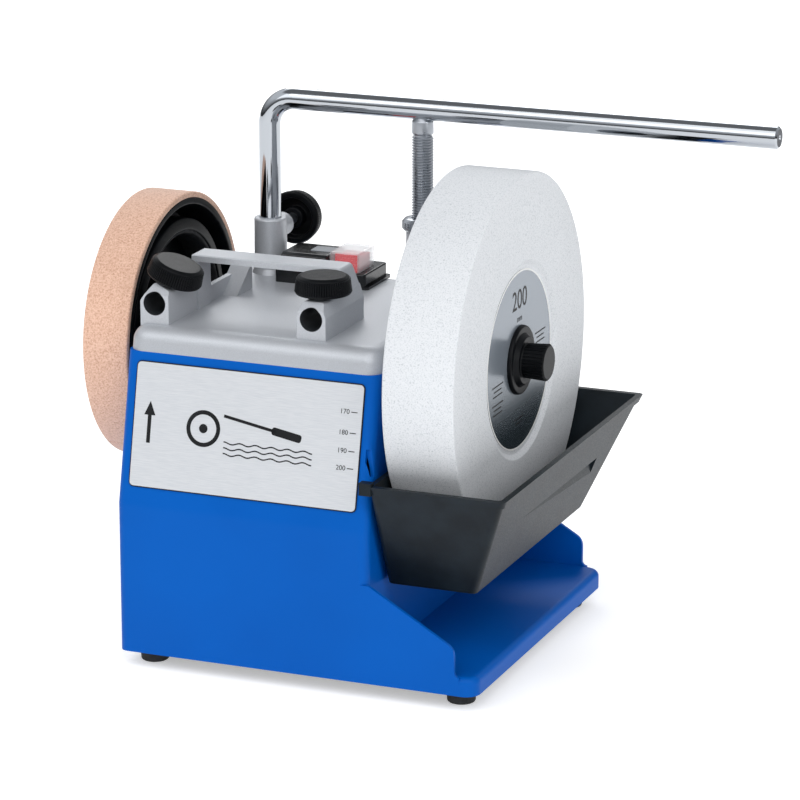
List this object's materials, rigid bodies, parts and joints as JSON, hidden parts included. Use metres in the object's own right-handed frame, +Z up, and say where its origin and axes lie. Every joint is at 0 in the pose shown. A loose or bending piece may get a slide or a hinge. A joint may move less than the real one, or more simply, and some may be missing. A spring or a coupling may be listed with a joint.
{
  "type": "wet grinding sharpener",
  "caption": "Bench sharpener with a slow water-cooled grindstone and a leather honing wheel on one shaft, a water trough, an adjustable support bar and a sheet-steel housing.",
  "frame": {"origin": "on the bench plane, below the main shaft's axis, midway between the honing nut's end and the support bar's end", "axes": "+X along the main shaft towards the grindstone, +Y towards the back of the machine, +Z up"},
  "size_m": [0.358, 0.2197, 0.286],
  "materials": {
    "blue_paint": "semi-gloss powder coat",
    "dark_steel": "satin black coat",
    "cast_alloy": "silver lacquered casting, satin",
    "label_metal": "fine brushed, printed",
    "foot_rubber": "matte",
    "zinc_steel": "zinc plated",
    "black_plastic": "satin moulded",
    "grey_plastic": "satin moulded",
    "black_gloss": "gloss moulded",
    "clear_plastic": "soft clear, glossy",
    "bright_steel": "turned and ground",
    "stone": "fine open grain, dry",
    "label_print": "laminated print",
    "leather": "coarse split grain",
    "drive_rubber": "matte",
    "chrome_bar": "polished",
    "knob_plastic": "fine knurl on the rim",
    "red_plastic": "gloss, printed marks",
    "trough_plastic": "satin moulded",
    "core_steel": "stacked sheets, oiled",
    "copper": "enamelled wire, wound"
  },
  "bodies": {
    "machine": {"housing": "blue_paint", "bottom_plate": "dark_steel", "top_cover": "cast_alloy", "label_plate": "label_metal", "foot_front_left": "foot_rubber", "foot_front_right": "foot_rubber", "foot_back_left": "foot_rubber", "foot_back_right": "foot_rubber", "foot_screws": "zinc_steel", "cover_screws": "zinc_steel", "shaft_bush_left": "black_plastic", "shaft_bush_right": "black_plastic", "pivot_rod": "zinc_steel", "cord_gland": "black_plastic", "run_capacitor": "grey_plastic", "capacitor_clip": "zinc_steel", "switch_housing": "black_gloss", "switch_boot": "clear_plastic", "motor_spring": "zinc_steel"},
    "spindle": {"main_shaft": "bright_steel", "grindstone": "stone", "stone_label": "label_print", "stone_flange": "black_plastic", "honing_wheel": "black_plastic", "honing_leather": "leather", "drive_wheel": "black_plastic", "friction_ring": "drive_rubber", "drive_spacer": "black_plastic"},
    "spindle_nut": {"spindle_nut": "black_plastic"},
    "honing_nut": {"honing_nut": "black_plastic"},
    "support_bar": {"support_bar": "chrome_bar", "threaded_leg": "bright_steel"},
    "adjusting_nut": {"adjusting_nut": "bright_steel"},
    "clamp_front_left": {"clamp_knob_front_left": "knob_plastic", "clamp_screw_front_left": "zinc_steel"},
    "clamp_front_right": {"clamp_knob_front_right": "knob_plastic", "clamp_screw_front_right": "zinc_steel"},
    "clamp_back_left": {"clamp_knob_back_left": "knob_plastic", "clamp_screw_back_left": "zinc_steel"},
    "clamp_back_right": {"clamp_knob_back_right": "knob_plastic", "clamp_screw_back_right": "zinc_steel"},
    "rocker": {"switch_rocker": "red_plastic"},
    "trough": {"water_trough": "trough_plastic", "trough_magnets": "zinc_steel"},
    "motor": {"motor_cradle": "dark_steel", "motor_stator": "core_steel", "motor_windings": "copper", "motor_bell_left": "cast_alloy", "motor_bell_right": "cast_alloy", "motor_bearing_left": "bright_steel", "motor_bearing_right": "bright_steel"},
    "rotor": {"motor_shaft": "bright_steel", "rotor_core": "core_steel", "motor_fan": "grey_plastic"}
  },
  "joints": [
    {"name": "spindle_spin", "type": "hinge", "parent": "machine", "child": "spindle", "pos_m": [-0.061, 0, 0.161], "axis": [1, 0, 0], "continuous": true},
    {"name": "motor_pivot", "type": "hinge", "parent": "machine", "child": "motor", "pos_m": [-0.061, 0.062, 0.115], "axis": [1, 0, 0], "range_deg": [-2, 0], "deforming": ["motor_spring"]},
    {"name": "rotor_spin", "type": "hinge", "parent": "motor", "child": "rotor", "pos_m": [-0.061, 0, 0.1153], "axis": [1, 0, 0], "continuous": true},
    {"name": "bar_height", "type": "slide", "parent": "machine", "child": "support_bar", "axis": [0, 0, 1], "range_m": [-0.02, 0.03]},
    {"name": "adjusting_nut_turn", "type": "hinge", "parent": "machine", "child": "adjusting_nut", "pos_m": [-0.0199, 0.05, 0.2166], "axis": [0, 0, 1], "range_deg": [-4801, 7201]},
    {"name": "clamp_front_left_turn", "type": "hinge", "parent": "machine", "child": "clamp_front_left", "pos_m": [-0.1205, -0.06, 0.1927], "axis": [0.342, 0, 0.9397], "range_deg": [-360, 360]},
    {"name": "clamp_front_right_turn", "type": "hinge", "parent": "machine", "child": "clamp_front_right", "pos_m": [-0.0315, -0.06, 0.1927], "axis": [0, 0, 1], "range_deg": [-360, 360]},
    {"name": "clamp_back_left_turn", "type": "hinge", "parent": "machine", "child": "clamp_back_left", "pos_m": [-0.10965, 0.08, 0.2055], "axis": [0, 1, 0], "range_deg": [-360, 360]},
    {"name": "clamp_back_right_turn", "type": "hinge", "parent": "machine", "child": "clamp_back_right", "pos_m": [-0.0199, 0.08, 0.2055], "axis": [0, 1, 0], "range_deg": [-360, 360]},
    {"name": "spindle_nut_turn", "type": "hinge", "parent": "spindle", "child": "spindle_nut", "pos_m": [0.059, 0, 0.161], "axis": [1, 0, 0], "range_deg": [-1800, 0]},
    {"name": "honing_nut_turn", "type": "hinge", "parent": "spindle", "child": "honing_nut", "pos_m": [-0.171, 0, 0.161], "axis": [1, 0, 0], "range_deg": [0, 1800]},
    {"name": "switch_rocker_tilt", "type": "hinge", "parent": "machine", "child": "rocker", "pos_m": [-0.058, 0.042, 0.1886], "axis": [1, 0, 0], "range_deg": [0, 14]},
    {"name": "trough_slide", "type": "slide", "parent": "machine", "child": "trough", "axis": [0, 0, 1], "range_m": [-0.022, 0]}
  ],
  "couplings": [
    {"joint": "adjusting_nut_turn", "follows": "bar_height", "rad_per_m": 4188.8},
    {"joint": "rotor_spin", "follows": "spindle_spin", "ratio": 11.765}
  ]
}
